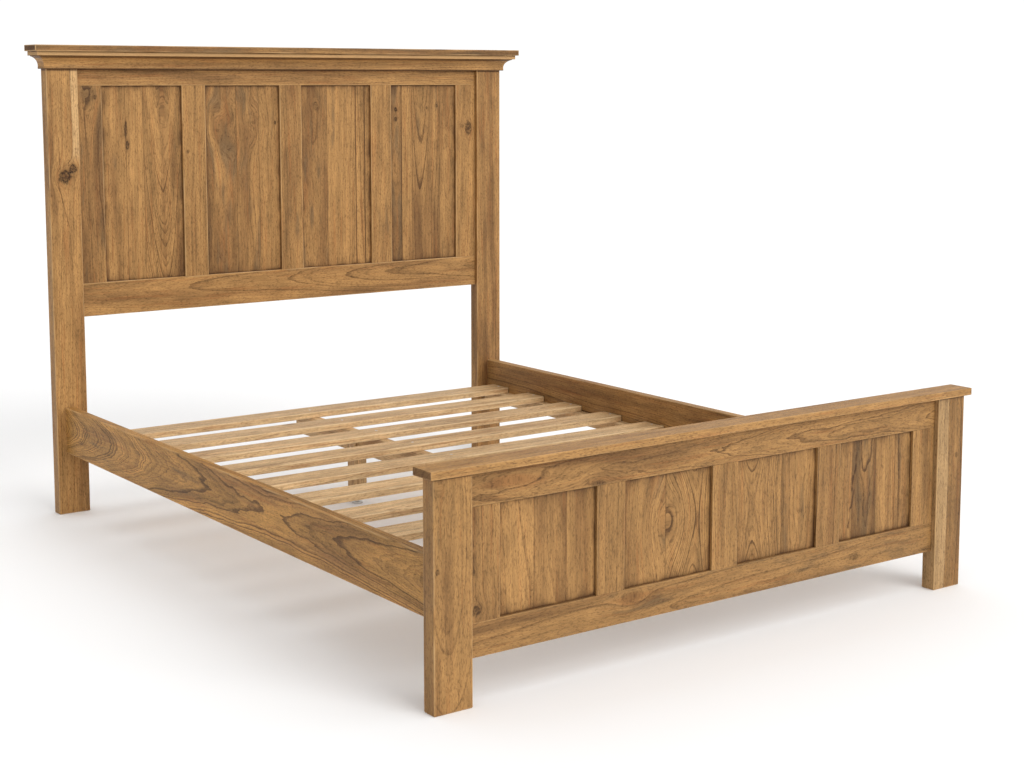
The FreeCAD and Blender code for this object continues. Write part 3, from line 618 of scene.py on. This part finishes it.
# Painted shade: the footboard's posts are set darker than the headboard's, to even out the stronger light
# that reaches the footboard.
wooden("footboard_post_left", GRAIN_UP, 40.0,
       Cut(pith_across=-12, pith_depth=52, bow=3, taper=0.06, ring=5.0, tone=0.92, lines=0.6),
       knots=[Knot(232, -34, 12, 1.4, 0.05), Knot(56, -40, 4, 1.5, 0.7)], under="footboard_cap")
wooden("footboard_post_right", GRAIN_UP, 41.0,
       Cut(pith_across=60, pith_depth=60, taper=0.0, heart=0.4, mineral=0.2, ring=5.0, tone=0.8),
       knots=[Knot(98, 24, 4, 1.8, 0.6)], sap=Sapwood(106, -300), under="footboard_cap")

# Footboard rails
# Two hardwood boards on edge from post to post, as in the headboard, with edges painted only a little paler.
# They are tenoned into the posts and grooved along the inner edge for stiles, mullions and panels.

# Painted shade: the footboard's rails are set darker than the headboard's, to even out the stronger light
# that reaches the footboard.
wooden("footboard_top_rail", GRAIN_ACROSS, 42.0,
       Cut(pith_across=-6, pith_depth=-42, curl=9, ring=2.8, tone=0.92, lines=1.1),
       knots=[Knot(-610, 6, 13, 6.0, 0.0), Knot(-380, -34, 12, 1.8, 0.25)],
       # Painted shadow: the dark band along the top of this rail is the shade of the cap above it.
       bands=[Band(33.0, 40.0, -0.85)], rub_and_highlight=0.3)
wooden("footboard_bottom_rail", GRAIN_ACROSS, 43.0,
       Cut(pith_across=-30, pith_depth=-60, taper=0.025, heart=0.4, mineral=0.3, ring=5.0, tone=0.84,
           lines=0.7),
       knots=[Knot(440, -8, 7, 2.2, 0.5), Knot(-280, 20, 14, 2.0, 0.2)], rub_and_highlight=0.3)

# Footboard stiles and mullions
# Short upright boards of the same hardwood between the footboard's rails, their edges painted only a little
# paler as well.
# Stub tenons hold them in the rails' grooves, and their own edges are grooved where a panel enters.

# Painted shade: the footboard's stiles and mullions are set darker than the headboard's, to even out the
# stronger light that reaches the footboard.
wooden("footboard_end_stile_left", GRAIN_UP, 44.0,
       Cut(pith_across=80, pith_depth=50, heart=0.5, mineral=0.25, ring=6.0, tone=0.9, lines=0.8),
       knots=[Knot(-100, -22, 10, 1.1, 0.85), Knot(-16, -28, 3, 2.0, 0.8)],
       veins=[Vein(60, -30, -14, -28, 2.0, 0.8)], rub_and_highlight=0.3)
wooden("footboard_mullion_1", GRAIN_UP, 45.0,
       Cut(pith_across=-110, pith_depth=60, heart=0.4, ring=6.0, tone=0.87), rub_and_highlight=0.4)
wooden("footboard_mullion_2", GRAIN_UP, 46.0, Cut(pith_across=90, pith_depth=60, ring=6.0, tone=0.9), rub_and_highlight=0.4)
wooden("footboard_mullion_3", GRAIN_UP, 47.0,
       Cut(pith_across=-120, pith_depth=60, heart=0.4, ring=7.0, tone=0.9, lines=1.4), rub_and_highlight=0.4)
wooden("footboard_end_stile_right", GRAIN_UP, 48.0,
       Cut(pith_across=110, pith_depth=60, ring=6.0, tone=0.9), rub_and_highlight=0.4)

# Footboard panels
# Glued up from staves like the headboard's panels, with a whorl in the second and points in the third.
# They are as loose in their grooves, with the same dark glazing and painted shade line at their edges.

# Painted shade: the footboard's panels are set darker than the headboard's, to even out the stronger light
# that reaches the footboard.
wooden("footboard_panel_1", GRAIN_UP, 50.0,
       Cut(95, pith_across=-30, pith_depth=80, taper=0.05, ring=6.0, heart=0.2, lines=0.9),
       Cut(88, pith_across=40, pith_depth=80, ring=7.0, heart=0.5, tone=0.95, lines=0.5),
       Cut(80.5, pith_across=170, pith_depth=60, ring=7.0, heart=0.5, mineral=0.2, tone=0.95, lines=0.5),
       recess=GROOVE)
wooden("footboard_panel_2", GRAIN_UP, 53.0,
       Cut(126, pith_across=-190, pith_depth=60, taper=0.07, ring=9.0, heart=0.4, mineral=0.2, tone=0.95,
           lines=0.8),
       Cut(137.5, pith_across=74, pith_depth=42, bow=-7, taper=0.0, ring=5.0, curl=4, heart=0.15, mineral=0.0,
           tone=0.9, lines=1.8),
       knots=[Knot(14, 2, 30, 1.6, 0.08)], recess=GROOVE)
wooden("footboard_panel_3", GRAIN_UP, 56.0,
       Cut(150, pith_across=-76, pith_depth=41, bow=-10, taper=0.0, ring=4.2, curl=3, heart=0.2, tone=0.96,
           lines=1.9),
       Cut(113.5, pith_across=80, pith_depth=50, curl=9, ring=6.0, heart=0.4, mineral=0.25, tone=0.95,
           lines=1.2),
       recess=GROOVE)
wooden("footboard_panel_4", GRAIN_UP, 59.0,
       Cut(50, pith_across=-190, pith_depth=60, ring=7.0, tone=0.97),
       Cut(85, pith_across=-30, pith_depth=45, curl=8, ring=5.0, heart=0.55, mineral=0.5, tone=0.92,
           lines=1.5),
       Cut(70, pith_across=110, pith_depth=60, ring=7.0, heart=0.3),
       Cut(58.5, pith_across=150, pith_depth=40, curl=6, ring=6.0, heart=0.5, mineral=0.3, tone=0.95),
       veins=[Vein(90, -66, 36, -72, 4.0, 0.95), Vein(40, -76, -6, -80, 4.5, 0.95),
              Vein(4, -72, -50, -84, 3.5, 0.9), Vein(-40, -86, -100, -92, 3.5, 0.8),
              Vein(90, 84, 0, 92, 2.5, 0.7)],
       recess=GROOVE)

# Footboard cap
# One flat board of plain, even hardwood, eased all round, that overhangs posts and frame on every side.
# It is glued down on the posts and on the top rail.

wooden("footboard_cap", GRAIN_FLAT, 62.0,
       Cut(pith_across=-70, pith_depth=-60, heart=0.0, mineral=0.0, tone=1.03, ring=6.0, lines=0.5), rub_and_highlight=0.3)

# Side rails
# Long hardwood boards on edge, stained like the end boards and eased along their edges.
# A steel plate with two hooks is let into each end, so that the rail hangs in the posts and lifts off.

# Painted light: this rail is set brighter than the other boards and its honey warmer, to light up its side
# that faces away from the lamp.
wooden("side_rail_left", GRAIN_LENGTHWISE, 63.0,
       Cut(pith_across=14, pith_depth=120, bow=-0.7, taper=0.042, ring=3.4, curl=8, mineral=0.15, tone=1.2,
           lines=1.7),
       colours={"Honey": shade(170, 126, 68)})
wooden("side_rail_right", GRAIN_LENGTHWISE, 64.0, Cut(pith_across=-40, pith_depth=-80, taper=0.02, ring=6.0))

# Slat deck
# Ten slats planed from plainer wood and left without stain, with two cleats, a beam along the middle and its
# three legs of the same wood. The slats are screwed down on the cleats, which are screwed to the side rails,
# and on the beam, and the legs are notched round the beam and screwed to it.

BARE = {"Honey": shade(203, 170, 126), "Brown": shade(178, 140, 97), "Grey": shade(160, 134, 102),
        "Sapwood": shade(214, 184, 142), "Dark": shade(126, 90, 54), "Pale": shade(218, 190, 148)}
SLATS = [f"slat_{number:02d}" for number in range(1, 11)]
LEGS = [f"centre_leg_{number}" for number in range(1, 4)]

for number, slat in enumerate(SLATS, 1):
    wooden(slat, GRAIN_FLAT, 70.0 + 1.3 * number,
           Cut(pith_across=(37 * number) % 120 - 60, pith_depth=-50, heart=0.3, mineral=0.0), colours=BARE)
wooden("cleat_left", GRAIN_LENGTHWISE, 86.0, Cut(pith_across=60), colours=BARE)
wooden("cleat_right", GRAIN_LENGTHWISE, 87.0, Cut(pith_across=60), colours=BARE)
wooden("centre_beam", GRAIN_LENGTHWISE, 88.0, Cut(pith_across=-70), colours=BARE)
for number, leg in enumerate(LEGS, 1):
    wooden(leg, GRAIN_UP, 89.0 + number, Cut(pith_across=50), colours=BARE)

# Rail and post hardware
# Flat steel plates, zinc plated: one with two hooks in each end of a side rail, and one with two slots in
# each post, every plate let in flush and held by two screws.


@effect("zinc plating", {"Place": BOARD}, ["Colour", "Roughness", "Height"])
def zinc_plating(spot):
    """Cells of different brightness for the crystals of the zinc, clouds where it has dulled, and scratches,
    which are noise drawn out along one way."""
    crystal, _, _ = place(spot.tree, "TexVoronoi", {"Vector": spot, "Scale": 0.6}, out="Color").split()
    cloud = spot.stretched(9, 9).noise(5.0, 3.0)
    scratch = spot.stretched(14, 0.25).noise(9.0, 1.0).rise(0.6, 0.72)
    bright = crystal * 0.16 + cloud * 0.3 - scratch * 0.1 + 0.42
    colour = place(spot.tree, "CombineColor", {0: bright, 1: bright, 2: bright * 0.97})
    return colour, cloud * 0.3 + scratch * 0.15 + 0.2, crystal * 0.2 - scratch


zinc_steel = new_material("zinc_steel")
tree = zinc_steel.node_tree
in_millimetres = {"Vector": place(tree, "TexCoord", {}, out="Object"), "Scale": (MILLIMETRES,) * 3}
plating = use(tree, zinc_plating, Place=place(tree, "Mapping", in_millimetres))
bump = {"Height": plating["Height"], "Strength": 0.25, "Distance": 0.0002}
steel = {"Base Color": plating["Colour"], "Roughness": plating["Roughness"], "Metallic": 1.0,
         "Normal": place(tree, "Bump", bump, out="Normal")}
place(tree, "OutputMaterial", {"Surface": place(tree, "BsdfPrincipled", steel)})
for node in ("rail_hook_plates", "rail_hook_plate_screws", "post_slot_plates", "post_slot_plate_screws"):
    dress(node, zinc_steel)

# Deck screws
# Countersunk wood screws of zinc-plated steel with a cross recess, driven a hair short of flush.
# Three hold each slat, five each cleat to its side rail, and two each leg to the beam.


def turned_piece(name, rings, body, *nodes):
    """Copies of a turned shape in one mesh, from an array of copies by rings by corners by three numbers.
    Quads join each ring to the next, and a fan closes the first and the last ring to a point at its middle.
    The piece takes the place of plain CAD nodes and moves with their body."""
    copies, count, sides, _ = rings.shape
    middles = rings[:, [0, -1]].mean(axis=2)
    points = np.concatenate([rings.reshape(copies, -1, 3), middles], axis=1)
    corner = np.arange(count * sides).reshape(count, sides)
    beside = np.roll(corner, -1, axis=1)
    quads = np.stack([corner[:-1], corner[1:], beside[1:], beside[:-1]], axis=-1).reshape(-1, 4)
    first = np.stack([np.full(sides, count * sides), corner[0], beside[0]], axis=-1)
    last = np.stack([np.full(sides, count * sides + 1), beside[-1], corner[-1]], axis=-1)
    start = np.arange(copies)[:, None, None] * points.shape[1]
    fans = (np.concatenate([first, last]) + start).reshape(-1, 3).tolist()
    mesh = bpy.data.meshes.new(name)
    mesh.from_pydata(points.reshape(-1, 3).tolist(), [], (quads + start).reshape(-1, 4).tolist() + fans)
    mesh.materials.append(zinc_steel)
    piece = bpy.data.objects.new(name, mesh)
    bpy.context.scene.collection.objects.link(piece)
    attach(piece, body)
    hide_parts(*nodes)


def screw_rings(sides=24):
    """A screw's profile turned about its axis, from the middle of its face down to the point. The recess is
    a cross: it is deep where the lesser of the two distances to the arms' middles is under half an arm."""
    proud, half_arm, arm_length, deep = 0.3, 0.62, 2.6, 1.7
    side_slope, end_slope = 0.25, 0.5
    radius = np.array((0.2, 0.6, 1.0, 1.5, 2.0, 2.4, 2.8, 3.9, 4.2, 2.1, 2.0, 2.0, 0.2))[:, None]
    height = np.array((0, 0, 0, 0, 0, 0, 0, 0, -0.3, -2.4, -3.5, -30, -39))[:, None] + proud
    turn = np.linspace(0, math.tau, sides, endpoint=False)[None, :]
    x, y = radius * np.cos(turn), radius * np.sin(turn)
    in_arm = np.clip((half_arm - np.minimum(abs(x), abs(y))) / side_slope + 0.5, 0, 1)
    in_length = np.clip((arm_length - radius) / end_slope, 0, 1)
    on_face = height > 0
    recess = deep * in_arm * in_length * on_face
    return np.stack([x, y, height - recess + 0 * turn], axis=-1) / MILLIMETRES


def middle_of(node):
    """The middle of a CAD node's box."""
    low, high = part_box(node)
    return (low + high) / 2


slat_y = np.array([middle_of(slat).y for slat in SLATS])
slat_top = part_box(SLATS[0])[1].z
between_slats = (slat_y[0::2] + slat_y[1::2]) / 2
cleat_z = middle_of("cleat_left").z
beam_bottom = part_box("centre_beam")[0].z
leg_screw_rises = (0.014, 0.036)
heads, axes = [], []
for x in (middle_of("cleat_left").x, middle_of("centre_beam").x, middle_of("cleat_right").x):
    heads += [(x, y, slat_top) for y in slat_y]
    axes += ["up"] * len(slat_y)
for x, axis in ((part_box("cleat_left")[1].x, "right"), (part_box("cleat_right")[0].x, "left")):
    heads += [(x, y, cleat_z) for y in between_slats]
    axes += [axis] * len(between_slats)
for leg in LEGS:
    heads += [(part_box(leg)[0].x, middle_of(leg).y, beam_bottom + rise) for rise in leg_screw_rises]
    axes += ["left"] * len(leg_screw_rises)
facing = {"up": ((1, 0, 0), (0, 1, 0), (0, 0, 1)),
          "right": ((0, 1, 0), (0, 0, 1), (1, 0, 0)),
          "left": ((0, -1, 0), (0, 0, 1), (-1, 0, 0))}
screw_x, screw_y, outward = np.array([facing[axis] for axis in axes], dtype=float).swapaxes(0, 1)
turn_from_screw_to_screw = 2.4
stop = turn_from_screw_to_screw * np.arange(len(heads))[:, None]
ways = np.stack([np.cos(stop) * screw_x + np.sin(stop) * screw_y,
                 np.cos(stop) * screw_y - np.sin(stop) * screw_x, outward], axis=1)
driven = np.einsum("rck,nkj->nrcj", screw_rings(), ways) + np.array(heads)[:, None, None, :]
turned_piece("driven_deck_screws", driven, "rails_and_deck", "deck_screws")

# Levelling glides and tee nuts
# A tee nut of pressed steel sits in the foot of each centre leg. The glide's threaded stem runs in it, and
# its hexagon is turned with a spanner until the round foot bears on the floor.


def glide_rings(sides=36):
    """A profile from the top of the stem down to the middle of the foot. On the stem the radius falls and
    rises with the height plus the share of a turn, which is a screw thread; on the hexagon it is the flats'
    distance over the cosine of the turn from the nearest flat."""
    stem_top, stem_foot, point, crest, pitch, thread_depth = 60.0, 11.6, 0.8, 4.0, 1.25, 0.62
    to_flat, sixth = 6.5, math.pi / 3
    turn = np.linspace(0, math.tau, sides, endpoint=False)[None, :]
    stem_z = np.arange(stem_top, stem_foot, -pitch / 6)[:, None]
    wave = abs((stem_z / pitch - turn / math.tau) % 1 - 0.5) * 2
    thread = thread_depth * np.clip(wave * 1.3 - 0.15, 0, 1)
    stem = crest - thread - np.clip(stem_z - stem_top + point, 0, 1)
    from_flat = (turn + sixth / 2) % sixth - sixth / 2
    nut = np.minimum(to_flat / np.cos(from_flat), np.array((6.9, 7.6, 7.6, 7.6))[:, None])
    foot = np.array((9.0, 15.6, 16.6, 17.0, 17.0, 16.7, 15.5, 6.0))[:, None] + 0 * turn
    radius = np.concatenate([stem, nut, foot])
    levels = (11.0, 10.6, 8.0, 6.0, 5.9, 5.0, 4.5, 3.8, 1.0, 0.3, 0.0, 0.0)
    height = np.concatenate([stem_z, np.array(levels)[:, None]]) + 0 * turn
    return np.stack([radius * np.cos(turn), radius * np.sin(turn), height], axis=-1) / MILLIMETRES


dress("leg_tee_nuts", zinc_steel)
for number in range(1, 4):
    under_leg = middle_of(f"levelling_glide_{number}")
    under_leg.z = 0
    turned_piece(f"threaded_glide_{number}", (glide_rings() + np.array(under_leg))[None],
                 f"glide_{number}", f"levelling_glide_{number}")

# Floor and light
# A wide studio floor, painted pale and matt, under a broad soft lamp that hangs in front of the foot.
# The walls are white all round and brighter above, so that no edge of the room shows.

reach = 40.0
floor_mesh = bpy.data.meshes.new("studio_floor")
floor_mesh.from_pydata([(-reach, -reach, 0), (reach, -reach, 0), (reach, reach, 0), (-reach, reach, 0)], [],
                       [(0, 1, 2, 3)])
floor = bpy.data.objects.new("studio_floor", floor_mesh)
bpy.context.scene.collection.objects.link(floor)
floor_paint = new_material("floor_paint")
tree = floor_paint.node_tree
shader = place(tree, "BsdfPrincipled", {"Base Color": (0.96, 0.96, 0.96, 1.0), "Roughness": 0.9})
place(tree, "OutputMaterial", {"Surface": shader})
floor_mesh.materials.append(floor_paint)

world = bpy.data.worlds.new("studio")
world.use_nodes = True
tree = world.node_tree
tree.nodes.clear()
seen = place(tree, "LightPath", {}, out="Is Camera Ray")
to_right, to_head, up = place(tree, "TexCoord", {}, out="Generated").split()
glow = to_right * 0.24 - to_head * 0.12 + up * 0.5 + 0.6
seen_white = 1.05
strength = glow * (1.0 - seen) + seen * seen_white
walls = place(tree, "Background", {"Color": (1.0, 1.0, 1.0, 1.0), "Strength": strength})
place(tree, "OutputWorld", {"Surface": walls})
bpy.context.scene.world = world

lamp = bpy.data.lights.new("softbox", "SUN")
lamp.energy = 1.5
lamp.angle = math.radians(40)
toward_lamp = Vector((0.2, -0.86, 0.47))
softbox = bpy.data.objects.new("softbox", lamp)
softbox.rotation_euler = toward_lamp.to_track_quat("Z", "Y").to_euler()
bpy.context.scene.collection.objects.link(softbox)
bpy.context.scene.view_settings.view_transform = "Standard"

# Camera
# Where the photograph was taken from: before the foot, to the left, just below the top of the headboard.
# The picture's size, the focal length and the row that the lens points at are in pixels of the photograph.

picture_width, picture_height = 1024, 768
focal_length, lens_row = 1730.5, 290
lean_down, turn_right = 0.1207, 0.6235
lens = bpy.data.cameras.new("camera")
lens.sensor_width = 36.0
lens.lens = focal_length / picture_width * lens.sensor_width
lens.shift_y = (lens_row - picture_height / 2) / picture_width
camera = bpy.data.objects.new("camera", lens)
camera.location = (-2.7226, -3.9756, 1.3203)
camera.rotation_euler = (math.pi / 2 - lean_down, 0, -turn_right)
bpy.context.scene.collection.objects.link(camera)
bpy.context.scene.camera = camera
